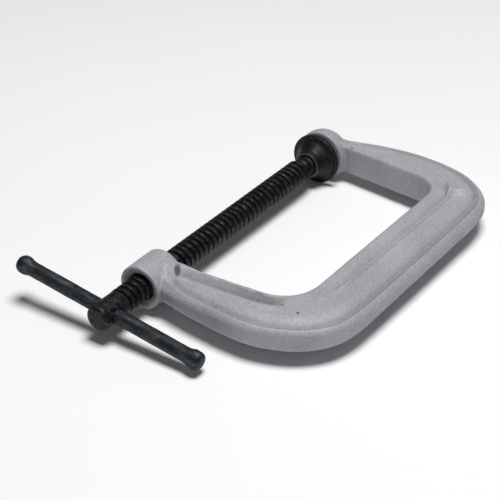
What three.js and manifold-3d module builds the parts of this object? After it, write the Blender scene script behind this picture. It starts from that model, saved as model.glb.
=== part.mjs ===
// A 4 inch C-clamp lying on its side: frame, screw with a sliding tommy bar, and a swivel pad on a ball.
// Millimetres. X runs along the screw from the handle to the anvil, Y from the spine to the screw, Z is up.
// The origin is the centre of the anvil face. The jaw is drawn almost closed.
import * as THREE from "three";
import { mergeVertices } from "three/addons/utils/BufferGeometryUtils.js";
import Module from "manifold-3d";

const wasm = await Module();
wasm.setup();

// ---------------------------------------------------------------- driving dimensions
const SCREW_RADIUS = 5.55; // 7/16 inch screw
const PITCH = 3.175; // 8 threads per inch
const THREAD_DEPTH = 1.45;
const THREAD_START = -145.4;
const THREAD_END = -17.6;
const THREAD_STEPS = 12; // facets in one turn

const JAW_GAP = 2.2; // pad face to anvil face as drawn
const THROAT = 61.5; // screw axis to the inside of the spine
const SPINE_WIDTH = 24.7;
const NEAR_ARM_X = -117; // inside of the screw arm, on the screw axis
const FAR_ARM_X = 3.6; // inside of the anvil arm, on the screw axis
const ARM_FLARE = 0.085; // how fast an arm thickens inwards towards the spine
const INNER_CORNER = 11.5;
const OUTER_CORNER_X = 32;
const OUTER_CORNER_Y = 43;
const SCREW_ARM_OUT = [-130.2, -134.4]; // outside of the screw arm at the axis and at its root
const ANVIL_ARM_OUT = [13, 21.6]; // outside of the anvil arm at its tip and at its root
const INNER_RIM_HALF = 6.6; // half thickness of the frame at the inner rim
const INNER_RIM_WIDTH = 4.4;
const WEB_HALF = 4.9;
const OUTER_RIM_HALF = 5.1;
const BEVEL = 2.6; // the outer rim's bevel, equal across and down
const DRAFT = 0.45;
const ARM_SWELL = 0.32; // share by which an arm thickens into its boss
const SWELL_DEPTHS = [7, 24]; // where the swelling ends fully and where it begins, below the screw axis

const BOSS_RADIUS = 9.6;
const BOSS_FRONT = -131.5;
const BOSS_BACK = -115.6;
const BORE_RADIUS = SCREW_RADIUS + 0.35;
const ANVIL_RADIUS = 11.4;
const ANVIL_BACK = 13.2;

const HEAD_RADIUS = 5.4;
const HEAD_END = -158.9;
const BAR_X = -151.6;
const BAR_RADIUS = 3.12;
const BAR_HOLE_RADIUS = 3.45;
const BAR_LENGTH = 91.6;
const BAR_TURN = THREE.MathUtils.degToRad(7.5); // how far the bar stands out of the frame's plane
const KNOB_RADIUS = 3.9;
const KNOB_LENGTH = 6.3;

const PAD_RADIUS = 11.6;
const PAD_BACK = -11.6;
const BALL_RADIUS = 4.8;
const BALL_X = -9.2;
const SOCKET_GAP = 0.3;
const SOCKET_MOUTH = 4.5;
const NECK_RADIUS = 3.4;
const NECK_END = -13.4; // where the neck of the ball meets the screw
const NECK_GAP = 0.3;
const COLLAR_RADIUS = 4.6; // plain end of the screw behind the ball
const ROUND = 40; // facets round a turned part

// ---------------------------------------------------------------- solids
function solid(geometry) {
  const bare = geometry.clone();
  bare.deleteAttribute("normal");
  bare.deleteAttribute("uv");
  const merged = mergeVertices(bare, 1e-4);
  const corners = merged.index.array;
  const faces = [];
  for (let i = 0; i < corners.length; i += 3) {
    const [a, b, c] = corners.slice(i, i + 3);
    if (a !== b && b !== c && c !== a) faces.push(a, b, c);
  }
  return new wasm.Manifold(
    new wasm.Mesh({
      numProp: 3,
      vertProperties: new Float32Array(merged.attributes.position.array),
      triVerts: new Uint32Array(faces),
    }),
  );
}

function geometryOf(manifold) {
  const mesh = manifold.getMesh();
  const geometry = new THREE.BufferGeometry();
  geometry.setAttribute("position", new THREE.BufferAttribute(new Float32Array(mesh.vertProperties), 3));
  geometry.setIndex(new THREE.BufferAttribute(new Uint32Array(mesh.triVerts), 1));
  const flat = geometry.toNonIndexed();
  flat.computeVertexNormals();
  return flat;
}

// A closed shape from rings of equally many points: neighbouring rings are joined, and each end is a fan.
function loft(rings) {
  const count = rings[0].length;
  const points = rings.flat();
  const faces = [];
  const next = (j) => (j + 1) % count;
  for (let i = 0; i < rings.length - 1; i++) {
    for (let j = 0; j < count; j++) {
      const a = i * count + j;
      const b = i * count + next(j);
      faces.push(a, b, b + count, a, b + count, a + count);
    }
  }
  const middle = (ring) => ring.reduce((sum, p) => sum.add(p), new THREE.Vector3()).divideScalar(count);
  const last = (rings.length - 1) * count;
  const start = points.push(middle(rings[0])) - 1;
  const end = points.push(middle(rings.at(-1))) - 1;
  for (let j = 0; j < count; j++) {
    faces.push(start, next(j), j);
    faces.push(end, last + j, last + next(j));
  }
  const geometry = new THREE.BufferGeometry().setFromPoints(points);
  geometry.setIndex(faces);
  return geometry;
}

// Turns a profile of [x, radius] pairs round the X axis. The pairs run from low x to high x.
function turned(profile, segments = ROUND) {
  const points = profile.map(([x, r]) => new THREE.Vector2(r, x));
  const geometry = new THREE.LatheGeometry(points, segments);
  geometry.rotateZ(-Math.PI / 2);
  return geometry;
}

function material(color, roughness, metalness) {
  return new THREE.MeshStandardMaterial({ color, roughness, metalness });
}

// ---------------------------------------------------------------- frame
const mix = THREE.MathUtils.lerp;
const ease = THREE.MathUtils.smoothstep;

// One section of the frame between a point on its inner edge and the facing point on its outer edge.
// The rims stand proud of the flat web, the outer one with a bevel, and the walls meet at the parting line.
// swell thickens the section where an arm runs into its boss.
function section(inner, outer, swell = 1) {
  const width = inner.distanceTo(outer);
  const top = [
    [0, 0],
    [DRAFT, INNER_RIM_HALF - 1],
    [DRAFT + 1, INNER_RIM_HALF],
    [INNER_RIM_WIDTH, INNER_RIM_HALF - 0.2],
    [INNER_RIM_WIDTH + 1.8, WEB_HALF],
    [width - BEVEL - 1.2, WEB_HALF],
    [width - BEVEL, OUTER_RIM_HALF],
    [width - DRAFT, OUTER_RIM_HALF - BEVEL],
    [width, 0],
  ];
  const bottom = top.slice(1, -1).reverse().map(([u, z]) => [u, -z]);
  return [...top, ...bottom].map(([u, z]) => {
    const at = inner.clone().lerp(outer, u / width);
    return new THREE.Vector3(at.x, at.y, z * swell);
  });
}

const armEnd = -THROAT + INNER_CORNER;
const outerEnd = -THROAT - SPINE_WIDTH + OUTER_CORNER_Y;

function armSection(depth, innerX, flare, out) {
  const y = -depth;
  const innerEdge = new THREE.Vector2(innerX + flare * depth, y);
  const outerEdge = new THREE.Vector2(mix(out[0], out[1], Math.min(1, depth / -outerEnd)), y);
  return section(innerEdge, outerEdge, 1 + ARM_SWELL * (1 - ease(depth, ...SWELL_DEPTHS)));
}

// The inner edge turns a quarter circle while the outer edge turns a quarter ellipse.
function cornerSection(turn, innerCentre, outerCentre, side) {
  const angle = turn * (Math.PI / 2);
  const innerEdge = new THREE.Vector2(
    innerCentre.x + side * INNER_CORNER * Math.cos(angle),
    innerCentre.y - INNER_CORNER * Math.sin(angle),
  );
  const outerEdge = new THREE.Vector2(
    outerCentre.x + side * OUTER_CORNER_X * Math.cos(angle),
    outerCentre.y - OUTER_CORNER_Y * Math.sin(angle),
  );
  return section(innerEdge, outerEdge);
}

function frameBody() {
  const depths = [-2, 7, 11, 15, 19, 24, -outerEnd];
  const turns = [0, 1, 2, 3, 4, 5, 6, 7, 8].map((step) => step / 8);
  const nearCentre = new THREE.Vector2(NEAR_ARM_X - ARM_FLARE * armEnd + INNER_CORNER, armEnd);
  const farCentre = new THREE.Vector2(FAR_ARM_X + ARM_FLARE * armEnd - INNER_CORNER, armEnd);
  const nearOuter = new THREE.Vector2(SCREW_ARM_OUT[1] + OUTER_CORNER_X, outerEnd);
  const farOuter = new THREE.Vector2(ANVIL_ARM_OUT[1] - OUTER_CORNER_X, outerEnd);
  const near = [
    ...depths.map((depth) => armSection(depth, NEAR_ARM_X, ARM_FLARE, SCREW_ARM_OUT)),
    ...turns.map((turn) => cornerSection(turn, nearCentre, nearOuter, -1)),
  ];
  const far = [
    ...depths.map((depth) => armSection(depth, FAR_ARM_X, -ARM_FLARE, ANVIL_ARM_OUT)),
    ...turns.map((turn) => cornerSection(turn, farCentre, farOuter, 1)),
  ];
  return solid(loft([...near, ...far.reverse()]));
}

const bossProfile = [
  [BOSS_FRONT, 0],
  [BOSS_FRONT, BOSS_RADIUS - 0.9],
  [BOSS_FRONT + 0.9, BOSS_RADIUS],
  [BOSS_BACK - 1.6, BOSS_RADIUS],
  [BOSS_BACK - 0.4, BOSS_RADIUS - 0.8],
  [BOSS_BACK, BOSS_RADIUS - 2],
  [BOSS_BACK, 0],
];

const anvilProfile = [
  [0, 0],
  [0, ANVIL_RADIUS - 0.9],
  [0.8, ANVIL_RADIUS],
  [5.5, ANVIL_RADIUS],
  [9, ANVIL_RADIUS - 1.3],
  [11.8, ANVIL_RADIUS - 4],
  [ANVIL_BACK, ANVIL_RADIUS - 7.5],
  [ANVIL_BACK, 0],
];

function frameGeometry() {
  const bore = turned([
    [BOSS_FRONT - 5, 0],
    [BOSS_FRONT - 5, BORE_RADIUS],
    [BOSS_BACK + 5, BORE_RADIUS],
    [BOSS_BACK + 5, 0],
  ]);
  const shape = frameBody().add(solid(turned(bossProfile))).add(solid(turned(anvilProfile)));
  return geometryOf(shape.subtract(solid(bore)));
}

// ---------------------------------------------------------------- screw
// A single-start right-hand thread: one pitch of profile swept along a helix and closed at both ends on the axis.
function threadGeometry() {
  const root = SCREW_RADIUS - THREAD_DEPTH;
  const profile = [
    [0, root],
    [0.26 * PITCH, root],
    [0.45 * PITCH, SCREW_RADIUS],
    [0.81 * PITCH, SCREW_RADIUS],
    [PITCH, root],
  ];
  const turns = (THREAD_END - THREAD_START) / PITCH - 1;
  const steps = Math.round(turns * THREAD_STEPS);
  const columns = profile.length - 1;
  const points = [];
  const place = (step, dx, radius) => {
    const angle = (2 * Math.PI * step) / THREAD_STEPS;
    const x = THREAD_START + (PITCH * step) / THREAD_STEPS + dx;
    return new THREE.Vector3(x, radius * Math.cos(angle), radius * Math.sin(angle));
  };
  for (let step = 0; step <= steps; step++) {
    for (const [dx, radius] of profile.slice(0, columns)) points.push(place(step, dx, radius));
  }
  for (let step = steps + 1; step <= steps + THREAD_STEPS; step++) points.push(place(step, 0, root));
  const index = (step, column) => {
    if (column === columns) return index(step + THREAD_STEPS, 0);
    return step <= steps ? step * columns + column : steps * columns + columns - 1 + step - steps;
  };
  const faces = [];
  for (let step = 0; step < steps; step++) {
    for (let column = 0; column < columns; column++) {
      const a = index(step, column);
      const b = index(step, column + 1);
      const c = index(step + 1, column + 1);
      const d = index(step + 1, column);
      faces.push(a, c, b, a, d, c);
    }
  }
  const startAxis = points.push(new THREE.Vector3(THREAD_START, 0, 0)) - 1;
  const endAxis = points.push(new THREE.Vector3(THREAD_END, 0, 0)) - 1;
  for (let step = 0; step < THREAD_STEPS; step++) {
    faces.push(startAxis, index(step + 1, 0), index(step, 0));
    faces.push(endAxis, index(steps + step, 0), index(steps + step + 1, 0));
  }
  for (let column = 0; column < columns; column++) {
    faces.push(startAxis, index(0, column), index(0, column + 1));
    faces.push(endAxis, index(steps, column + 1), index(steps, column));
  }
  const geometry = new THREE.BufferGeometry().setFromPoints(points);
  geometry.setIndex(faces);
  return geometry;
}

function barHole() {
  const hole = new THREE.CylinderGeometry(BAR_HOLE_RADIUS, BAR_HOLE_RADIUS, 4 * HEAD_RADIUS, 24);
  hole.rotateX(BAR_TURN);
  hole.translate(BAR_X, 0, 0);
  return hole;
}

function spindleGeometry() {
  const insideThread = 0.88 * (SCREW_RADIUS - THREAD_DEPTH);
  const core = turned([
    [HEAD_END, 0],
    [HEAD_END, HEAD_RADIUS - 0.7],
    [HEAD_END + 0.7, HEAD_RADIUS],
    [THREAD_START, HEAD_RADIUS],
    [THREAD_START + 1.2, insideThread],
    [THREAD_END - PITCH, insideThread],
    [THREAD_END - 1.5, COLLAR_RADIUS],
    [NECK_END - NECK_GAP - 0.7, COLLAR_RADIUS],
    [NECK_END - NECK_GAP, COLLAR_RADIUS - 0.7],
    [NECK_END - NECK_GAP, 0],
  ], 24);
  const shape = solid(core).add(solid(threadGeometry()));
  return geometryOf(shape.subtract(solid(barHole())));
}

// The ball and its neck, which travel with the screw.
function ballGeometry() {
  const profile = [[NECK_END, 0], [NECK_END, NECK_RADIUS]];
  const start = Math.PI - Math.asin(NECK_RADIUS / BALL_RADIUS);
  for (let step = 0; step <= 12; step++) {
    const angle = mix(start, 0, step / 12);
    profile.push([BALL_X + BALL_RADIUS * Math.cos(angle), BALL_RADIUS * Math.sin(angle)]);
  }
  return turned(profile, 28);
}

// ---------------------------------------------------------------- swivel pad
function padGeometry() {
  const face = -JAW_GAP;
  const socket = BALL_RADIUS + SOCKET_GAP;
  const profile = [
    [PAD_BACK, SOCKET_MOUTH + 0.6],
    [PAD_BACK, 6.1],
    [PAD_BACK + 0.6, 6.5],
    [PAD_BACK + 2.6, 6.9],
    [PAD_BACK + 4.4, 8.2],
    [PAD_BACK + 6.2, 10.2],
    [PAD_BACK + 6.8, PAD_RADIUS - 0.5],
    [PAD_BACK + 7.2, PAD_RADIUS],
    [face - 0.5, PAD_RADIUS],
    [face, PAD_RADIUS - 0.5],
    [face, 0],
  ];
  const mouth = Math.PI - Math.asin(SOCKET_MOUTH / socket);
  for (let step = 0; step <= 10; step++) {
    const angle = mix(0, mouth, step / 10);
    profile.push([BALL_X + socket * Math.cos(angle), socket * Math.sin(angle)]);
  }
  profile.push(profile[0]);
  return turned(profile);
}

// ---------------------------------------------------------------- sliding tommy bar
function barGeometry() {
  const end = BAR_LENGTH / 2;
  const knobStart = end - KNOB_LENGTH;
  const profile = [
    [knobStart, BAR_RADIUS],
    [knobStart + 0.7, KNOB_RADIUS - 0.5],
    [knobStart + 1.6, KNOB_RADIUS],
    [end - 2, KNOB_RADIUS],
    [end - 0.7, KNOB_RADIUS - 0.7],
    [end, KNOB_RADIUS - 2],
    [end, 0],
  ];
  const mirrored = profile.map(([x, r]) => [-x, r]).reverse();
  return turned([...mirrored, ...profile], 24);
}

// ---------------------------------------------------------------- the clamp
function part(name, geometry, look) {
  const mesh = new THREE.Mesh(geometry, look);
  mesh.name = name;
  return mesh;
}

const silverPaint = material(0xa6a8ac, 0.5, 0.3);
const blackOxide = material(0x2b2e33, 0.45, 0.7);
const satinBlack = material(0x24262a, 0.5, 0.6);

const clamp = new THREE.Group();
clamp.add(part("frame", frameGeometry(), silverPaint));
clamp.add(part("spindle", spindleGeometry(), blackOxide));
clamp.add(part("ball_tip", ballGeometry(), blackOxide));
clamp.add(part("swivel_pad", padGeometry(), satinBlack));

const bar = part("handle_bar", barGeometry(), blackOxide);
bar.rotation.set(BAR_TURN, 0, Math.PI / 2);
bar.position.set(BAR_X, 0, 0);
clamp.add(bar);

export default clamp;
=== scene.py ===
"""Looks of a 4 inch C-clamp: forged frame, black screw with a sliding tommy bar, and a swivel pad.

Shapes are built in millimetres, X along the screw from the handle to the anvil face at the origin,
Y from the spine to the screw, Z up, and are scaled to metres when a mesh is made.
"""

import math

import bmesh
import bpy
import numpy as np
from mathutils import Matrix, Vector


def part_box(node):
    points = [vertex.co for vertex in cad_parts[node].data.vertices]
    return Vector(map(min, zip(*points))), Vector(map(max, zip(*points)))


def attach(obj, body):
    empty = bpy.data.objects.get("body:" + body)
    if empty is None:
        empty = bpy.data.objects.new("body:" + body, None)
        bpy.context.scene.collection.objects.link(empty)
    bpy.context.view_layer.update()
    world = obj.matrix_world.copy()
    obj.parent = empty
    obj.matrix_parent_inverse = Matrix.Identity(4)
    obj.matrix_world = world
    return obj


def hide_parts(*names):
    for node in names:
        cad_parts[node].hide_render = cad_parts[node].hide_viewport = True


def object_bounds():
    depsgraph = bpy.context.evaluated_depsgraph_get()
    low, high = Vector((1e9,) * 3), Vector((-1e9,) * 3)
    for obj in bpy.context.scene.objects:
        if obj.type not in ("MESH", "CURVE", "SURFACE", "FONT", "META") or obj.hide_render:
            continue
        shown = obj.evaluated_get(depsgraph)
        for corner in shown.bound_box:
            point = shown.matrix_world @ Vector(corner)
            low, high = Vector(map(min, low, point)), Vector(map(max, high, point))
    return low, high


MM = 0.001
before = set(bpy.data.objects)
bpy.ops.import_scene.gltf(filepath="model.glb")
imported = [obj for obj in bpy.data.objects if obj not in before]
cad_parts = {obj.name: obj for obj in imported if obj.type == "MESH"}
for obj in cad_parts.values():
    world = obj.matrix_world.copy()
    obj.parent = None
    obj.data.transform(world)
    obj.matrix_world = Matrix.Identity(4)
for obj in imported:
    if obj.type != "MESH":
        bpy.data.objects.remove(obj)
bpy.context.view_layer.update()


def box_mm(node):
    """Lowest and highest corner of a CAD node in millimetres."""
    low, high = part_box(node)
    return np.array(low) / MM, np.array(high) / MM


frame_low, frame_high = box_mm("frame")
spindle_low, _ = box_mm("spindle")
ball_low, ball_high = box_mm("ball_tip")
pad_low, pad_high = box_mm("swivel_pad")
bar_low, bar_high = box_mm("handle_bar")

# ---------------------------------------------------------------- dimensions, mm
THROAT = 61.5
NEAR_INNER_X = -116.8
FAR_INNER_X = 3.6
FLARE = 0.085
INNER_CORNER = 11.5
NEAR_CORNER = 15.5
ARM_TOP = 5.0
MIDDLE_X = -60  # parts the screw's side of the frame from the anvil's
RIM_HALF = 6.6  # half thickness at the inner rim
INNER_DRAFT = 0.07
OUTER_DRAFT = 0.08
LOWER_LAND = 0.4  # how much taller the outer wall is below the parting line
BEVEL_SCALE = math.sqrt(0.5)

BOSS_RADIUS = 9.6
BOSS_FRONT = -132.2
BOSS_BACK = -115.6
BORE_RADIUS = 5.85
BORE_THREAD = 0.4
ANVIL_RADIUS = frame_high[2]
ANVIL_REACH = 14  # how far from the screw's axis the anvil's flat face is kept clear

# radii of the frame's rounded edges, and of its blends with the boss and the anvil
INNER_EDGE = 1.5
OUTER_EDGE = 0.6
BEVEL_EDGE = 0.9
BOSS_EDGE = 0.7
ANVIL_EDGE = 0.9
BOSS_BLEND = 1.3
ANVIL_BLEND = 2.4

SCREW_RADIUS = 5.55
THREAD_ROOT = 4.1
PITCH = 3.175
THREAD_START = -145.4
THREAD_END = -17.6
NECK_RADIUS = 3.4
COLLAR_RADIUS = 4.75
COLLAR_START = THREAD_END + 0.4
COLLAR_END = -12.9
HEAD_RADIUS = 5.4
HEAD_END = spindle_low[0]
NECK_END = ball_low[0]

BALL_RADIUS = ball_high[2]
BALL_X = ball_high[0] - BALL_RADIUS
SOCKET_RADIUS = BALL_RADIUS + 0.25
SOCKET_MOUTH = 4.55
PAD_RADIUS = pad_high[2]
PAD_FACE = pad_high[0]
PAD_BACK = pad_low[0]

BAR_X = (bar_low[0] + bar_high[0]) / 2
BAR_TURN = math.radians(7.5)
BAR_RADIUS = 3.12
BAR_HALF = 45.8
BAR_HOLE = 3.45
KNOB_RADIUS = 3.9
KNOB_LENGTH = 6.3


# ---------------------------------------------------------------- meshes
WAVES = 7


def make_object(name, points, faces, material, attributes=None):
    """A smooth-shaded mesh object from millimetre points, with float attributes on its points."""
    mesh = bpy.data.meshes.new(name)
    corners = faces.tolist() if isinstance(faces, np.ndarray) else faces
    mesh.from_pydata((np.asarray(points) * MM).tolist(), [], corners)
    for key, values in (attributes or {}).items():
        layer = mesh.attributes.new(key, "FLOAT", "POINT")
        layer.data.foreach_set("value", np.asarray(values, np.float32))
    mesh.validate()
    mesh.shade_smooth()
    obj = bpy.data.objects.new(name, mesh)
    bpy.context.scene.collection.objects.link(obj)
    mesh.materials.append(material)
    return obj


def smooth_min(a, b, blend):
    """The smaller of two fields, rounded where they are within blend of each other."""
    h = np.clip(0.5 + 0.5 * (b - a) / blend, 0.0, 1.0)
    return b * (1 - h) + a * h - blend * h * (1 - h)


def smooth_max(a, b, blend):
    """The larger of two fields, rounded in the same way."""
    return -smooth_min(-a, -b, blend)


def ease(x, low, high):
    """0 at low and 1 at high, whichever is larger, with a smooth start and end."""
    t = np.clip((x - low) / (high - low), 0.0, 1.0)
    return t * t * (3 - 2 * t)


def window(x, low, high, soft):
    """1 between low and high, falling to 0 over soft outside."""
    return ease(x, low - soft, low) * (1 - ease(x, high, high + soft))


def bump(x, centre, width):
    """1 at the centre, falling smoothly to 0 on both sides."""
    return np.exp(-(((x - centre) / width) ** 2))


def ripple(points, size, seed):
    """A slow unevenness between about -1 and 1, with waves of about the given size."""
    waves = np.random.default_rng(seed)
    total = np.zeros(len(points))
    for _ in range(WAVES):
        direction = waves.normal(size=3)
        direction *= waves.uniform(0.7, 1.5) * 2 * math.pi / size / np.linalg.norm(direction)
        total += np.sin(points @ direction + waves.uniform(0, 2 * math.pi))
    return total / (WAVES / 2)


# ---------------------------------------------------------------- frame outline
def resample(points, spacing):
    """Points at even spacing along a chain of straight pieces."""
    points = np.array(points, float)
    along = np.concatenate([[0], np.cumsum(np.linalg.norm(np.diff(points, axis=0), axis=1))])
    count = int(along[-1] / spacing) + 1
    at = np.linspace(0, along[-1], count)
    return np.column_stack([np.interp(at, along, points[:, k]) for k in (0, 1)])


def smoothed(points, spacing, sigma):
    """An open curve resampled and smoothed, with its ends kept straight."""
    line = resample(points, spacing)
    reach = int(3 * sigma / spacing)
    weights = np.exp(-0.5 * (np.arange(-reach, reach + 1) * spacing / sigma) ** 2)
    weights /= weights.sum()
    steps = np.arange(1, reach + 1)[:, None]
    before = line[0] - steps[::-1] * (line[1] - line[0])
    after = line[-1] + steps * (line[-1] - line[-2])
    padded = np.vstack([before, line, after])
    return np.column_stack([np.convolve(padded[:, k], weights, "valid") for k in (0, 1)])


def arc(centre, radius, start, stop, steps):
    """Points on an arc between two angles in degrees."""
    angles = np.radians(np.linspace(start, stop, steps))
    return [(centre[0] + radius * math.cos(t), centre[1] + radius * math.sin(t)) for t in angles]


CURVE_STEP = 0.8
ARMS_END = 14  # the outlines run on to here, past the top of the arms

# inside of the frame, from the near arm round the throat to the far arm
far_y = -THROAT + INNER_CORNER
near_y = -THROAT + NEAR_CORNER
near_x = NEAR_INNER_X - FLARE * near_y
far_corner = (FAR_INNER_X + FLARE * far_y - INNER_CORNER, far_y)
inner_curve = [(NEAR_INNER_X - FLARE * ARMS_END, ARMS_END), (near_x, near_y)]
inner_curve += arc((near_x + NEAR_CORNER, near_y), NEAR_CORNER, 180, 270, 16)
inner_curve += arc(far_corner, INNER_CORNER, 270, 360, 12)
inner_curve += [(FAR_INNER_X + FLARE * ARMS_END, ARMS_END)]
inner_curve = smoothed(inner_curve, CURVE_STEP, 1.2)

# outside of the frame, the same way round
outer_curve = smoothed(
    [
        (-129.9, 14), (-130.1, 0), (-131.0, -9), (-132.7, -18), (-134.2, -30), (-134.9, -42), (-135.1, -49),
        (-134.3, -56), (-132.4, -62.5), (-129.5, -69), (-125.5, -75), (-120.0, -80.2), (-113.2, -84.0),
        (-104.5, -85.8), (-94, -86.2), (-75, -86.2), (-40, -86.0), (-12, -85.8), (-1, -84.6), (6.2, -81.2),
        (12.2, -75.8), (16.8, -69.0), (19.7, -61.2), (21.6, -52.0), (22.1, -44), (21.8, -35), (20.6, -26.3),
        (18.3, -17), (15.6, -8.7), (13.3, 0), (10.5, 14),
    ],
    CURVE_STEP,
    2.4,
)


def curve_maps(curve, x, y):
    """Signed distance to a curve, positive on its right, and the length along it."""
    best = np.full(x.shape, 1e9)
    side = np.zeros(x.shape)
    along = np.zeros(x.shape)
    travelled = 0.0
    for start, stop in zip(curve[:-1], curve[1:]):
        step = stop - start
        length = math.hypot(*step)
        u = step / length
        dx, dy = x - start[0], y - start[1]
        t = np.clip(dx * u[0] + dy * u[1], 0, length)
        ex, ey = dx - t * u[0], dy - t * u[1]
        d = ex * ex + ey * ey
        nearer = d < best
        best = np.where(nearer, d, best)
        side = np.where(nearer, dx * u[1] - dy * u[0], side)
        along = np.where(nearer, travelled + t, along)
        travelled += length
    return np.sqrt(best) * np.sign(side), along, travelled


MAP_STEP = 0.25
map_x = np.arange(-137.0, 25.0, MAP_STEP)
map_y = np.arange(-89.0, 15.0, MAP_STEP)
grid_x, grid_y = np.meshgrid(map_x, map_y, indexing="ij")
from_inner, along, inner_length = curve_maps(inner_curve, grid_x, grid_y)
outer_distance, _, _ = curve_maps(outer_curve, grid_x, grid_y)
from_outer = -outer_distance

# half thickness at the outer rim, and height of the upright land below its bevel,
# at stations along the inner edge; the screw's axis is START from either end
START = 14.0
FAR_START = inner_length - START
stations = [0, START + 5, START + 38, START + 56, START + 78, START + 100, FAR_START - 70, FAR_START - 45]
stations += [inner_length]
rim_half_map = np.interp(along, stations, [4.9, 4.9, 5.2, 5.2, 4.6, 4.3, 4.3, 4.5, 4.8])
land_map = np.interp(along, stations, [2.0, 2.0, 2.8, 3.2, 2.2, 1.8, 1.8, 1.9, 2.0])

RIDGE_AT = 9.8
RIDGE_HEIGHT = 0.5
SPINE_GROOVE_AT = 6.9
PANEL_DEPTH = 0.8
FORK_HEADING = -63.0  # degrees, from the far inner corner's centre
FORK_HEIGHT = 1.0
SWELL = 1.3  # how much the near arm thickens into the boss


def top_height():
    """Height of the upper face above the parting plane, and how much painted shade a point gets in the
    face's hollows.
    """
    depth = -grid_y
    a, b = from_inner, from_outer
    from_bevel = b - (rim_half_map - land_map)
    # the face falls from the inner rim to a groove beside the outer rim's bevel
    fall = (RIM_HALF - rim_half_map + 0.25) * ease(from_bevel, 7.5, 0.6) + 0.15 * ease(a, 4, 9)
    rim = 0.35 * bump(from_bevel, -0.5, 0.8) - 0.55 * bump(from_bevel, 1.5, 1.0) * ease(depth, 9, 14)
    # arms: a hollow beside the inner rim, and a ridge on the hollow's other side
    deepening = 1.0 + 0.8 * ease(depth, 16, 46)
    hollow = deepening * ease(a, 1.2, 3.0) * (1 - ease(a, 5.2, 8.6))
    ridge = RIDGE_HEIGHT * bump(a, RIDGE_AT, 1.4)
    near_window = window(along, START + 15, START + 51, 6)
    far_window = window(inner_length - along, START + 17, START + 26, 6)
    arms = (near_window + 0.7 * far_window) * (hollow - ridge)
    # spine: a gentle slope, a narrow groove and a ridge
    spine_window = window(along, START + 78, FAR_START - 63, 8)
    slope = ease(a, 2.0, 6.4) * (1 - ease(a, 6.9, 8.8)) + 0.55 * bump(a, SPINE_GROOVE_AT, 0.9)
    spine = spine_window * (slope - 0.6 * bump(a, 9.4, 1.1))
    # a forked ridge crosses the far corner
    fork = np.hypot(grid_x - far_corner[0], grid_y - far_corner[1])
    heading = np.degrees(np.arctan2(grid_y - far_corner[1], grid_x - far_corner[0]))
    across = np.radians(heading - FORK_HEADING) * fork
    width = 2.8 - 1.5 * ease(fork, 17, 31)
    forked = FORK_HEIGHT * bump(across, 0, width) * window(fork, 17.0, 31.0, 2.5)
    # the spine's web is a sunken panel that ends at the fork
    panel = PANEL_DEPTH * ease(a, 8.6, 10.4) * ease(from_bevel, 0.6, 2.6)
    panel *= ease(along, START + 60, START + 84) * (1 - ease(across, -3.2, -0.6))
    swell = SWELL * (1 - ease(depth, 6, 22)) * (grid_x < MIDDLE_X)
    height = RIM_HALF - fall - arms - spine - panel + rim + forked + swell
    # painted shade: the pocket, the channel beside the outer rim's bevel and the spine's groove are painted
    # darker, standing in for the shade on their slopes
    pocket = near_window * ease(a, 1.6, 3.4) * (1 - ease(a, 6.8, 8.6)) * (0.55 + 0.45 * ease(depth, 20, 50))
    channel = ease(from_bevel, 4.5, 1.2) * (1 - ease(from_bevel, 0.7, -0.1)) * ease(depth, 10, 16)
    groove = spine_window * bump(a, SPINE_GROOVE_AT + 0.1, 1.1)
    shade = np.clip(pocket + 0.55 * channel + 0.25 * groove, 0, 1)
    return height, shade


top_map, shade_map = top_height()


def look_up(table, x, y):
    """Bilinear value of a map at any points."""
    u = np.clip((x - map_x[0]) / MAP_STEP, 0, len(map_x) - 1.001)
    v = np.clip((y - map_y[0]) / MAP_STEP, 0, len(map_y) - 1.001)
    i, j = u.astype(int), v.astype(int)
    s, t = u - i, v - j
    low = table[i, j] * (1 - t) + table[i, j + 1] * t
    high = table[i + 1, j] * (1 - t) + table[i + 1, j + 1] * t
    return low * (1 - s) + high * s


FRAME_MAPS = (from_inner, from_outer, top_map, land_map)


def forging(x, y, z, *maps):
    """Signed field of the frame, below 0 inside the metal. maps are FRAME_MAPS looked up at x, y."""
    inner, outer, top, land = maps or [look_up(table, x, y) for table in FRAME_MAPS]
    up = np.abs(z)
    body = smooth_max(up - top, INNER_DRAFT * up - inner, INNER_EDGE)
    body = smooth_max(body, OUTER_DRAFT * up - outer, OUTER_EDGE)
    wall = np.where(z > 0, land, land + LOWER_LAND)
    body = smooth_max(body, (up - wall - outer) * BEVEL_SCALE, BEVEL_EDGE)
    body = smooth_max(body, y - ARM_TOP, 2.0)
    r = np.hypot(y, z)
    middle = (BOSS_FRONT + BOSS_BACK) / 2
    boss = smooth_max(r - BOSS_RADIUS, np.abs(x - middle) - (BOSS_BACK - BOSS_FRONT) / 2, BOSS_EDGE)
    shape = smooth_min(body, boss, BOSS_BLEND)
    dome = np.hypot(r, 1.09 * np.maximum(x - 2.5, 0)) - ANVIL_RADIUS
    anvil = smooth_max(dome, -x, ANVIL_EDGE)
    shape = smooth_min(shape, anvil, ANVIL_BLEND)
    shape = np.where((x > MIDDLE_X) & (r < ANVIL_REACH), np.maximum(shape, -x), shape)
    # the tapped bore, with a countersink at either end
    turn = np.arctan2(z, y) / (2 * math.pi)
    thread = BORE_THREAD * (0.5 + 0.5 * np.cos(2 * math.pi * (x / PITCH - turn)))
    mouth = 1.25 * np.maximum(0, BOSS_FRONT + 1.6 - x) + np.maximum(0, x - BOSS_BACK + 0.9)
    bore = np.where(x < MIDDLE_X, BORE_RADIUS + thread + mouth - r, -1e3)
    return smooth_max(shape, bore, 0.25)


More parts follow.
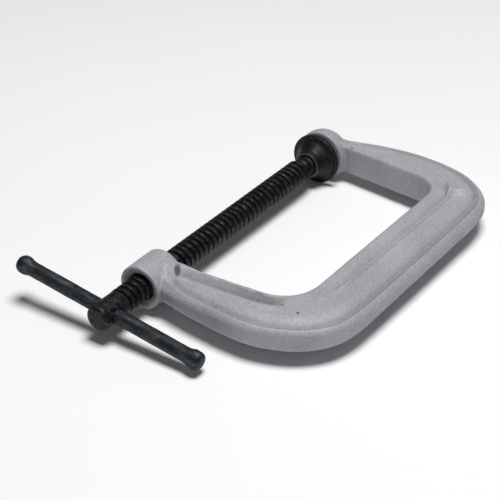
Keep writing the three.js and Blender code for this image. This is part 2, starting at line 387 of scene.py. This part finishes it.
def surface_nets(field, origin, step):
    """Quads through the zero level of a grid of values."""
    inside = field < 0
    corners = [(i, j, k) for i in (0, 1) for j in (0, 1) for k in (0, 1)]
    nx, ny, nz = field.shape
    count = np.zeros((nx - 1, ny - 1, nz - 1), np.uint8)
    for i, j, k in corners:
        count += inside[i : nx - 1 + i, j : ny - 1 + j, k : nz - 1 + k]
    active = (count > 0) & (count < 8)
    cells = np.argwhere(active)
    index = np.full(active.shape, -1, np.int64)
    index[active] = np.arange(len(cells))
    total = np.zeros((len(cells), 3))
    hits = np.zeros(len(cells))
    for corner in corners:
        for axis in range(3):
            if corner[axis]:
                continue
            other = np.array(corner)
            other[axis] = 1
            fa = field[tuple((cells + corner).T)]
            fb = field[tuple((cells + other).T)]
            crossing = (fa < 0) != (fb < 0)
            t = np.where(crossing, fa / np.where(crossing, fa - fb, 1), 0)
            point = (cells + corner).astype(float)
            point[:, axis] += t
            total += point * crossing[:, None]
            hits += crossing
    points = np.array(origin) + step * total / hits[:, None]
    quads = []
    for axis in range(3):
        u, w = np.eye(3, dtype=int)[[(axis + 1) % 3, (axis + 2) % 3]]
        first = inside.take(range(0, field.shape[axis] - 1), axis)
        second = inside.take(range(1, field.shape[axis]), axis)
        for mask, turn in ((first & ~second, False), (~first & second, True)):
            g = np.argwhere(mask)
            ring = [index[tuple(c.T)] for c in (g, g - u, g - u - w, g - w)]
            quad = np.column_stack(ring)
            quads.append(quad[:, ::-1] if turn else quad)
    return points, np.vstack(quads)


def gradient(points, reach=0.05):
    """Slope of the frame's field at the points."""
    rows = []
    for axis in range(3):
        shift = np.zeros(3)
        shift[axis] = reach
        rows.append((forging(*(points + shift).T) - forging(*(points - shift).T)) / (2 * reach))
    return np.column_stack(rows)


GRID_STEP = 0.42
SHADE_REACH = 1.3  # how far off the surface it looks for hollows and edges
# shallow marks in the upper face: x, y, half length along PIT_AXIS, half width
PIT_AXIS = (0.82, 0.57)
PIT_DEPTH = 0.45
PITS = [
    (-121.3, -11.0, 3.8, 1.35),
    (4.6, -14.0, 0.9, 0.8),
    (-116.2, -57.6, 0.7, 0.55),
    (-117.6, -66.0, 0.9, 0.6),
]


def pit_marks(points):
    """1 inside a mark in the upper face, 0 outside."""
    marks = np.zeros(len(points))
    for x, y, half_length, half_width in PITS:
        dx, dy = points[:, 0] - x, points[:, 1] - y
        lengthwise = dx * PIT_AXIS[0] + dy * PIT_AXIS[1]
        crosswise = dy * PIT_AXIS[0] - dx * PIT_AXIS[1]
        spot = 1 - ease(np.hypot(lengthwise / half_length, crosswise / half_width), 0.55, 1.25)
        marks = np.maximum(marks, np.where(points[:, 2] > 4, spot, 0))
    return marks


def build_frame(material):
    """The forged frame, with its hollows, edges and marks as attributes for the paint."""
    low = frame_low - 3 * GRID_STEP - np.array([1.5, 1.0, 0.8])
    high = frame_high + 3 * GRID_STEP + np.array([3.0, 1.5, 0.8])
    xs, ys, zs = (np.arange(low[k], high[k], GRID_STEP) for k in range(3))
    plane_x, plane_y = np.meshgrid(xs, ys, indexing="ij")
    maps = [look_up(table, plane_x, plane_y)[:, :, None] for table in FRAME_MAPS]
    field = forging(xs[:, None, None], ys[None, :, None], zs[None, None, :], *maps)
    points, quads = surface_nets(field, (xs[0], ys[0], zs[0]), GRID_STEP)
    # bring the points onto the surface itself
    for _ in range(3):
        slope = gradient(points)
        size = np.maximum((slope**2).sum(1), 0.2)
        move = slope * (forging(*points.T) / size)[:, None]
        points = points - np.clip(move, -0.2, 0.2)
    normal = gradient(points)
    normal /= np.maximum(np.linalg.norm(normal, axis=1), 1e-6)[:, None]
    outside = forging(*(points + SHADE_REACH * normal).T) / SHADE_REACH
    inside = -forging(*(points - SHADE_REACH * normal).T) / SHADE_REACH
    chip = pit_marks(points)
    # painted shade for the face's hollows, kept to the upper face
    hollow = look_up(shade_map, points[:, 0], points[:, 1])
    uneven = 0.05 * ripple(points, 16, 3) + 0.03 * ripple(points, 5, 4)
    near_axis = np.hypot(points[:, 1], points[:, 2]) < BORE_RADIUS + 1.0
    machined = (np.abs(points[:, 0]) < 0.3) | near_axis
    points = points + normal * (np.where(machined, 0, uneven) - PIT_DEPTH * chip)[:, None]
    # the cavity and hollow attributes paint shade into the corners and into the face's hollows
    return make_object("frame_forging", points, quads, material, {
        "cavity": np.clip(1 - outside, 0, 1),
        "edge": np.clip(1 - inside, 0, 1),
        "chip": chip,
        "hollow": hollow * (points[:, 2] > 0),
    })


# ---------------------------------------------------------------- turned parts
def rounded(profile, radius, steps=4):
    """Rounds the corners of an [x, r] profile."""
    points = [np.array(p, float) for p in profile]
    out = [points[0]]
    for before, at, after in zip(points[:-2], points[1:-1], points[2:]):
        back, ahead = before - at, after - at
        reach = min(radius, 0.45 * np.linalg.norm(back), 0.45 * np.linalg.norm(ahead))
        start = at + back / np.linalg.norm(back) * reach
        stop = at + ahead / np.linalg.norm(ahead) * reach
        for t in np.linspace(0, 1, steps + 1):
            out.append((1 - t) ** 2 * start + 2 * t * (1 - t) * at + t * t * stop)
    out.append(points[-1])
    return np.array(out)


def divided(profile, longest):
    """Splits the long steps of a profile."""
    out = [profile[0]]
    for a, b in zip(profile[:-1], profile[1:]):
        count = max(1, int(math.ceil(np.linalg.norm(b - a) / longest)))
        out += [a + (b - a) * t for t in np.linspace(0, 1, count + 1)[1:]]
    return np.array(out)


def ring_points(rings, segments):
    """Points of rings round X, from [x, r] pairs."""
    angles = np.linspace(0, 2 * math.pi, segments, endpoint=False)
    return [(x, r * math.cos(t), r * math.sin(t)) for x, r in rings for t in angles]


def ring_faces(base, count, segments):
    """Quads between neighbouring rings whose points start at base."""
    faces = []
    for i in range(count - 1):
        a, b = base + i * segments, base + (i + 1) * segments
        for j in range(segments):
            k = (j + 1) % segments
            faces.append((a + j, a + k, b + k, b + j))
    return faces


def cap_faces(centre, ring, segments, forward):
    """A fan that closes the ring whose points start at ring."""
    faces = []
    for j in range(segments):
        k = (j + 1) % segments
        faces.append((centre, ring + j, ring + k) if forward else (centre, ring + k, ring + j))
    return faces


def turned(profile, segments):
    """A closed turned surface round X from an [x, r] profile that starts and ends on the axis."""
    rings = profile[1:-1]
    points = ring_points(rings, segments)
    faces = ring_faces(0, len(rings), segments)
    faces += cap_faces(len(points), 0, segments, False)
    faces += cap_faces(len(points) + 1, (len(rings) - 1) * segments, segments, True)
    points += [(profile[0][0], 0, 0), (profile[-1][0], 0, 0)]
    return np.array(points), faces


def outwards(points):
    """Unit directions away from the X axis, and the distances from it."""
    radial = points * np.array([0, 1, 1])
    radius = np.linalg.norm(radial, axis=1)
    return radial / np.maximum(radius, 1e-6)[:, None], radius


# ---------------------------------------------------------------- screw
# one pitch of the thread, as [phase, radius]: root, rising flank, crest, falling flank
THREAD_PROFILE = [
    (0.0, THREAD_ROOT), (0.12, THREAD_ROOT), (0.18, THREAD_ROOT + 0.12), (0.34, SCREW_RADIUS - 0.22),
    (0.38, SCREW_RADIUS - 0.06), (0.43, SCREW_RADIUS), (0.80, SCREW_RADIUS), (0.85, SCREW_RADIUS - 0.06),
    (0.89, SCREW_RADIUS - 0.22), (1.0, THREAD_ROOT),
]
THREAD_PHASES = [0.0, 0.06, 0.12, 0.18, 0.26, 0.34, 0.38, 0.43, 0.50, 0.60, 0.70, 0.80, 0.85, 0.89, 0.95]
CREST_WEAR_AND_HIGHLIGHT_EDGES = (0.395, 0.85)  # phases of the two edges of each thread top, painted lighter as worn metal and as highlight lines
LIP_WIDTH = 0.045
SCREW_SEGMENTS = 60


def envelope(x):
    """Radius that the thread may not pass at x: its chamfered end, then the plain collar."""
    return np.interp(x, [THREAD_END - 1.6, COLLAR_START], [SCREW_RADIUS + 0.2, COLLAR_RADIUS])


def thread_point(turn, phase, step):
    """x and radius of a point on the helix, held between the head and the collar."""
    x = THREAD_START + PITCH * (turn + phase + step / SCREW_SEGMENTS)
    r = float(np.interp(phase, *zip(*THREAD_PROFILE)))
    t = float(ease(x, THREAD_START, THREAD_START + 1.0))
    r = HEAD_RADIUS * (1 - t) + r * t
    r = COLLAR_RADIUS if x >= COLLAR_START else min(r, float(envelope(x)))
    return min(max(x, THREAD_START), COLLAR_START), r


def thread_mesh():
    """Points and faces of the screw's thread, and how worn each point is, with painted highlight lines on
    the edges of its tops.
    """
    turns = int((COLLAR_START - THREAD_START) / PITCH) + 2
    rows = [(turn, phase) for turn in range(-1, turns) for phase in THREAD_PHASES]
    points = []
    crest_wear_and_highlight = []
    for turn, phase in rows:
        # the edges of the thread's tops are painted lighter, as worn metal and as highlight lines
        lip = sum(bump(phase, at, LIP_WIDTH) for at in CREST_WEAR_AND_HIGHLIGHT_EDGES)
        for j in range(SCREW_SEGMENTS):
            angle = 2 * math.pi * j / SCREW_SEGMENTS
            x, r = thread_point(turn, phase, j)
            points.append((x, r * math.cos(angle), r * math.sin(angle)))
            crest_wear_and_highlight.append((0.1 + 0.9 * lip) * (r > SCREW_RADIUS - 0.5))
    faces = []
    for i in range(len(rows) - 1):
        for j in range(SCREW_SEGMENTS):
            # after a full turn the helix meets its own next thread
            k = (j + 1) % SCREW_SEGMENTS
            shift = len(THREAD_PHASES) if k == 0 else 0
            if i + 1 + shift >= len(rows):
                continue
            a, b = i * SCREW_SEGMENTS, (i + 1) * SCREW_SEGMENTS
            skip = shift * SCREW_SEGMENTS
            faces.append((a + j, a + skip + k, b + skip + k, b + j))
    return points, faces, crest_wear_and_highlight


def build_spindle(material):
    """The screw: head, thread and plain collar, with the cross hole for the tommy bar."""
    points, faces, crest_wear_and_highlight = thread_mesh()
    head = rounded([
        (HEAD_END, 0), (HEAD_END, HEAD_RADIUS - 0.9), (HEAD_END + 1.0, HEAD_RADIUS),
        (THREAD_START, HEAD_RADIUS),
    ], 0.6)
    head_rings = divided(head, 0.8)[1:]
    collar_rings = [
        (COLLAR_START, COLLAR_RADIUS), (COLLAR_END - 0.7, COLLAR_RADIUS - 0.05),
        (COLLAR_END - 0.2, COLLAR_RADIUS - 0.3), (COLLAR_END, COLLAR_RADIUS - 0.8),
    ]
    base = len(points)
    points += ring_points(head_rings, SCREW_SEGMENTS)
    faces += ring_faces(base, len(head_rings), SCREW_SEGMENTS)
    faces += cap_faces(len(points), base, SCREW_SEGMENTS, False)
    points.append((HEAD_END, 0, 0))
    base = len(points)
    points += ring_points(collar_rings, SCREW_SEGMENTS)
    faces += ring_faces(base, len(collar_rings), SCREW_SEGMENTS)
    faces += cap_faces(len(points), len(points) - SCREW_SEGMENTS, SCREW_SEGMENTS, True)
    points.append((COLLAR_END, 0, 0))
    points = np.array(points)
    head_wear = np.full(base - len(crest_wear_and_highlight), 0.3)
    head_wear[-1] = 0.2
    collar_wear = np.zeros(len(points) - base)
    wear_and_highlight = np.concatenate([crest_wear_and_highlight, head_wear, collar_wear])
    radial, _ = outwards(points)
    on_head = points[:, 0] < THREAD_START
    points = points + radial * (0.03 * ripple(points, 9, 11) * on_head)[:, None]
    screw = make_object("screw_spindle", points, faces, material, {"wear_and_highlight": wear_and_highlight})
    tidy_mesh(screw)
    drill(screw)
    return screw


def tidy_mesh(obj):
    """Joins points that coincide, and turns the faces outwards."""
    bm = bmesh.new()
    bm.from_mesh(obj.data)
    bmesh.ops.remove_doubles(bm, verts=bm.verts, dist=2e-6)
    bmesh.ops.dissolve_degenerate(bm, edges=bm.edges, dist=1e-7)
    bmesh.ops.recalc_face_normals(bm, faces=bm.faces)
    bm.to_mesh(obj.data)
    bm.free()
    obj.data.shade_smooth()


def drill(screw):
    """Cuts the tommy bar's cross hole, with a chamfered mouth."""
    out = HEAD_RADIUS
    half = [(out - 1.3, BAR_HOLE), (out - 0.2, BAR_HOLE + 0.55), (2 * out, BAR_HOLE + 3), (2 * out, 0)]
    profile = [(-x, r) for x, r in reversed(half)] + half
    points, faces = turned(divided(np.array(profile), 1.2), 40)
    cutter = make_object("cutter", points, faces, screw.data.materials[0])
    cutter.matrix_world = bar_matrix()
    bpy.context.view_layer.update()
    cut = screw.modifiers.new("hole", "BOOLEAN")
    cut.operation = "DIFFERENCE"
    cut.solver = "EXACT"
    cut.object = cutter
    evaluated = screw.evaluated_get(bpy.context.evaluated_depsgraph_get())
    mesh = bpy.data.meshes.new_from_object(evaluated)
    screw.modifiers.clear()
    screw.data = mesh
    bpy.data.objects.remove(cutter)


def bar_matrix():
    """Places a part turned round X on the tommy bar's axis, in metres."""
    axis = Vector((0, math.cos(BAR_TURN), math.sin(BAR_TURN)))
    side = Vector((1, 0, 0))
    up = side.cross(axis)
    turn = Matrix((axis, -side, up)).transposed().to_4x4()
    return Matrix.Translation(Vector((BAR_X * MM, 0, 0))) @ turn


# ---------------------------------------------------------------- tommy bar, ball and pad
def build_bar(material):
    """The tommy bar with a knob upset on each end."""
    end = BAR_HALF
    neck = end - KNOB_LENGTH
    knob = [
        (neck - 1.2, BAR_RADIUS), (neck - 0.1, BAR_RADIUS + 0.12), (neck + 0.7, KNOB_RADIUS - 0.45),
        (neck + 1.9, KNOB_RADIUS - 0.04), (end - 3.4, KNOB_RADIUS), (end - 1.6, KNOB_RADIUS - 0.15),
        (end - 0.35, KNOB_RADIUS - 1.0), (end, KNOB_RADIUS - 2.3), (end, 0),
    ]
    profile = [(-x, r) for x, r in reversed(knob)] + knob
    points, faces = turned(divided(rounded(profile, 0.7), 1.0), 48)
    radial, radius = outwards(points)
    knobby = ease(np.abs(points[:, 0]), neck - 1, neck + 2)
    uneven = 0.035 * ripple(points, 11, 21) + (0.03 + 0.05 * knobby) * ripple(points, 4.5, 22)
    points = points + radial * (uneven * (radius > 1.5))[:, None]
    bar = make_object("tommy_bar", points, faces, material, {"wear_and_highlight": 0.45 + 0.35 * knobby})
    bar.data.transform(bar_matrix())
    return bar


def ball_arc(radius, start, steps):
    """[x, r] points of a ball at BALL_X, from the angle start to its foremost point."""
    return [(BALL_X + radius * math.cos(t), radius * math.sin(t)) for t in np.linspace(start, 0.02, steps)]


def build_ball(material):
    """The screw's ball and the neck behind it."""
    start = math.pi - math.asin(NECK_RADIUS / BALL_RADIUS)
    sphere = ball_arc(BALL_RADIUS, start, 24)
    profile = [(NECK_END, 0), (NECK_END, NECK_RADIUS)] + sphere + [(BALL_X + BALL_RADIUS, 0)]
    points, faces = turned(np.array(profile), 48)
    return make_object("screw_ball", points, faces, material, {"wear_and_highlight": np.full(len(points), 0.3)})


def build_pad(material):
    """The swivel pad: a dished shoe with a rolled collar and a socket for the ball."""
    mouth = math.pi - math.asin(SOCKET_MOUTH / SOCKET_RADIUS)
    face, back = PAD_FACE, PAD_BACK
    outer = [
        (face, 0), (face, PAD_RADIUS - 0.7), (face - 0.6, PAD_RADIUS), (face - 1.9, PAD_RADIUS),
        (face - 2.3, PAD_RADIUS - 0.25), (face - 2.55, PAD_RADIUS - 1.0), (face - 2.35, PAD_RADIUS - 1.5),
        (face - 3.1, PAD_RADIUS - 2.6), (face - 5.0, 7.6), (face - 6.1, 6.75), (back + 1.5, 6.35),
        (back + 0.55, 6.3), (back + 0.1, 5.9), (back, 5.45), (back + 0.25, 5.0),
    ]
    inner = ball_arc(SOCKET_RADIUS, mouth, 20)
    profile = np.vstack([rounded(outer, 0.45, 3), inner, [(BALL_X + SOCKET_RADIUS, 0)]])
    points, faces = turned(divided(profile, 0.9)[::-1], 96)
    radius = np.hypot(points[:, 1], points[:, 2])
    collar = window(radius, 5.2, 5.9, 0.3) * (points[:, 0] < back + 1.4)
    rim = ease(radius, PAD_RADIUS - 0.9, PAD_RADIUS - 0.1)
    lip = bump(radius, PAD_RADIUS - 1.3, 0.5) * (points[:, 0] < face - 1.5)
    wear_and_highlight = np.clip(0.15 + 0.6 * lip + 0.25 * rim, 0, 1)
    return make_object("swivel_pad_shoe", points, faces, material, {"wear_and_highlight": wear_and_highlight, "collar": collar})


# ---------------------------------------------------------------- materials
class Nodes:
    """A small helper round one material's node tree."""

    def __init__(self, name):
        self.material = bpy.data.materials.new(name)
        self.material.use_nodes = True
        self.tree = self.material.node_tree
        self.shader = self.tree.nodes["Principled BSDF"]
        self.coordinates = self.add("ShaderNodeTexCoord").outputs["Object"]

    def add(self, kind, **settings):
        """A new node with these settings."""
        node = self.tree.nodes.new(kind)
        for key, value in settings.items():
            setattr(node, key, value)
        return node

    def link(self, source, target):
        self.tree.links.new(source, target)

    def noise(self, size, detail=4.0, roughness=0.55, stretch=(1, 1, 1)):
        """Noise with features of about size millimetres."""
        mapping = self.add("ShaderNodeMapping")
        mapping.inputs["Scale"].default_value = stretch
        self.link(self.coordinates, mapping.inputs["Vector"])
        node = self.add("ShaderNodeTexNoise")
        node.inputs["Scale"].default_value = 1 / (size * MM)
        node.inputs["Detail"].default_value = detail
        node.inputs["Roughness"].default_value = roughness
        self.link(mapping.outputs["Vector"], node.inputs["Vector"])
        return node.outputs["Fac"]

    def range(self, value, low, high, out_low=0.0, out_high=1.0):
        """value moved from low..high to out_low..out_high, held inside it."""
        node = self.add("ShaderNodeMapRange", clamp=True)
        self.link(value, node.inputs["Value"])
        numbers = {"From Min": low, "From Max": high, "To Min": out_low, "To Max": out_high}
        for socket, number in numbers.items():
            node.inputs[socket].default_value = number
        return node.outputs["Result"]

    def math(self, operation, a, b):
        node = self.add("ShaderNodeMath", operation=operation)
        for socket, value in zip(node.inputs, (a, b)):
            if isinstance(value, (int, float)):
                socket.default_value = value
            else:
                self.link(value, socket)
        return node.outputs[0]

    def mix(self, factor, a, b):
        """Colour a where the factor is 0, and b where it is 1."""
        node = self.add("ShaderNodeMix", data_type="RGBA")
        for socket, value in zip((node.inputs[0], node.inputs[6], node.inputs[7]), (factor, a, b)):
            if isinstance(value, tuple):
                socket.default_value = (*value, 1)
            elif isinstance(value, (int, float)):
                socket.default_value = value
            else:
                self.link(value, socket)
        return node.outputs[2]

    def attribute(self, name):
        """A float attribute of the mesh's points."""
        return self.add("ShaderNodeAttribute", attribute_name=name).outputs["Fac"]

    def bump(self, height, distance, strength, normal=None):
        """A normal for relief of distance millimetres, on top of another normal."""
        node = self.add("ShaderNodeBump")
        node.inputs["Distance"].default_value = distance * MM
        node.inputs["Strength"].default_value = strength
        self.link(height, node.inputs["Height"])
        if normal is not None:
            self.link(normal, node.inputs["Normal"])
        return node.outputs["Normal"]

    def set(self, socket, value):
        """Gives an input of the material's shader a number or a link."""
        target = self.shader.inputs[socket]
        if isinstance(value, (int, float)):
            target.default_value = value
        else:
            self.link(value, target)


def silver_paint():
    """Silver paint over a rough forging: speckled, painted darker as shade in corners and hollows, worn
    lighter on edges.
    """
    n = Nodes("silver_paint")
    cloud = n.range(n.noise(22, 3), 0.35, 0.68)
    colour = n.mix(cloud, (0.275, 0.282, 0.305), (0.35, 0.357, 0.382))
    speckle = n.range(n.noise(0.7, 2), 0.36, 0.66)
    colour = n.mix(n.math("MULTIPLY", speckle, 0.45), colour, (0.56, 0.567, 0.59))
    # painted shade in corners, patchy like grime, and in the hollows of the face
    grime = n.range(n.noise(5, 5), 0.35, 0.75)
    grime = n.math("ADD", n.math("MULTIPLY", grime, 0.5), 0.35)
    corner_shade_and_grime = n.math("MULTIPLY", n.range(n.attribute("cavity"), 0.04, 0.5), grime)
    colour = n.mix(corner_shade_and_grime, colour, (0.15, 0.15, 0.16))
    # painted shade in the hollows of the upper face, mottled
    mottle = n.range(n.noise(1.2, 5, 0.7), 0.35, 0.65, 0.6, 1.0)
    hollow = n.math("MULTIPLY", n.attribute("hollow"), mottle)
    colour = n.mix(hollow, colour, (0.14, 0.142, 0.15))
    # wear on the edges, dark flecks, and the marks in the upper face
    patches = n.range(n.noise(3.2, 6, 0.65), 0.42, 0.62)
    rub = n.math("MULTIPLY", n.range(n.attribute("edge"), 0.25, 0.75), patches)
    colour = n.mix(n.math("MULTIPLY", rub, 0.55), colour, (0.68, 0.69, 0.71))
    fleck = n.range(n.noise(2.6, 6, 0.7), 0.72, 0.76)
    colour = n.mix(n.math("MULTIPLY", fleck, 0.6), colour, (0.10, 0.10, 0.11))
    colour = n.mix(n.attribute("chip"), colour, (0.07, 0.072, 0.08))
    n.set("Base Color", colour)
    n.set("Metallic", 0.12)
    n.set("Roughness", n.range(n.noise(1.6, 4), 0.3, 0.7, 0.55, 0.70))
    pebble = n.bump(n.noise(0.8, 3), 0.14, 0.8)
    n.set("Normal", n.bump(n.noise(3.5, 4), 0.3, 0.6, pebble))
    return n.material


def black_steel(name, tint, wear_tint, gloss, stretch=(1, 1, 1), collar=False):
    """Black oxide lightened with scuffs at worn places, which on the screw's thread tops also paints
    highlight lines. gloss is the middle roughness.
    """
    n = Nodes(name)
    lighter = tuple(1.7 * c for c in tint)
    colour = n.mix(n.range(n.noise(7, 4), 0.35, 0.7), tint, lighter)
    scuff = n.range(n.noise(1.8, 8, 0.75, stretch), 0.48, 0.66)
    # lighter scuffs; on the screw's thread tops this is also a painted highlight
    worn = n.math("MULTIPLY", scuff, n.range(n.attribute("wear_and_highlight"), 0.0, 1.0, 0.12, 0.9))
    colour = n.mix(worn, colour, wear_tint)
    if collar:
        colour = n.mix(n.math("MULTIPLY", n.attribute("collar"), 0.6), colour, (0.16, 0.145, 0.125))
    n.set("Base Color", colour)
    n.set("Metallic", 0.7)
    n.set("Roughness", n.range(n.noise(1.4, 5), 0.3, 0.7, gloss - 0.1, gloss + 0.1))
    grain = n.bump(n.noise(0.5, 4), 0.05, 0.5)
    n.set("Normal", n.bump(n.noise(2.5, 4), 0.12, 0.4, grain))
    return n.material


def floor_material():
    """Nearly white, with a slow change of tone."""
    n = Nodes("pale_floor")
    tone = n.range(n.noise(300, 2), 0.3, 0.7)
    n.set("Base Color", n.mix(tone, (0.90, 0.90, 0.90), (0.94, 0.94, 0.94)))
    n.set("Roughness", 0.9)
    return n.material


# ---------------------------------------------------------------- the clamp
paint = silver_paint()
screw_steel = black_steel("black_oxide", (0.006, 0.0065, 0.0075), (0.16, 0.165, 0.18), 0.5)
bar_steel = black_steel("black_bar", (0.016, 0.019, 0.022), (0.15, 0.165, 0.18), 0.55, (1.0, 0.3, 1.0))
pad_steel = black_steel("black_pad", (0.009, 0.010, 0.0115), (0.075, 0.08, 0.085), 0.5, collar=True)

forged_frame = build_frame(paint)
screw = build_spindle(screw_steel)
ball = build_ball(screw_steel)
pad = build_pad(pad_steel)
bar = build_bar(bar_steel)

for piece, body, node, slot in (
    (forged_frame, "frame", "frame", "frame_paint"),
    (screw, "screw", "spindle", "screw_black"),
    (ball, "ball", "ball_tip", "screw_black"),
    (pad, "pad", "swivel_pad", "pad_black"),
    (bar, "bar", "handle_bar", "bar_black"),
):
    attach(piece, body)
    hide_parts(node)

# ---------------------------------------------------------------- floor, light and camera, metres
FLOOR_GAP = 0.0003
FLOOR_SIZE = 8
LIGHT_OFFSET = Vector((-0.04, -0.15, 1.05))  # from the middle of the clamp
LIGHT_SIZE = 0.45
LIGHT_POWER = 11.2
SKY_COLOUR = (0.95, 0.97, 1.0, 1)
SKY_STRENGTH = 0.13
CAMERA_PLACE = (-0.5388, -0.34015, 0.35689)
CAMERA_AIM = Vector((0.68838, 0.48454, -0.53978))
CAMERA_LENS = 115.2

low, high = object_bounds()
centre = (low + high) / 2

bpy.ops.mesh.primitive_plane_add(size=FLOOR_SIZE, location=(centre.x, centre.y, low.z - FLOOR_GAP))
floor = bpy.context.object
floor.name = "floor"
floor.data.materials.append(floor_material())

light_data = bpy.data.lights.new("key", "AREA")
light_data.shape = "DISK"
light_data.size = LIGHT_SIZE
light_data.energy = LIGHT_POWER
light = bpy.data.objects.new("key", light_data)
bpy.context.scene.collection.objects.link(light)
light.location = centre + LIGHT_OFFSET
light.rotation_mode = "QUATERNION"
light.rotation_quaternion = (-LIGHT_OFFSET).to_track_quat("-Z", "Y")

world = bpy.data.worlds.new("studio")
bpy.context.scene.world = world
world.use_nodes = True
sky = world.node_tree.nodes["Background"]
sky.inputs["Color"].default_value = SKY_COLOUR
sky.inputs["Strength"].default_value = SKY_STRENGTH
bpy.context.scene.view_settings.view_transform = "Standard"

camera_data = bpy.data.cameras.new("camera")
camera_data.sensor_width = 36
camera_data.lens = CAMERA_LENS
camera_data.clip_start = 0.01
camera_data.clip_end = 20
camera = bpy.data.objects.new("camera", camera_data)
bpy.context.scene.collection.objects.link(camera)
camera.location = CAMERA_PLACE
camera.rotation_mode = "QUATERNION"
camera.rotation_quaternion = CAMERA_AIM.to_track_quat("-Z", "Y")
bpy.context.scene.camera = camera
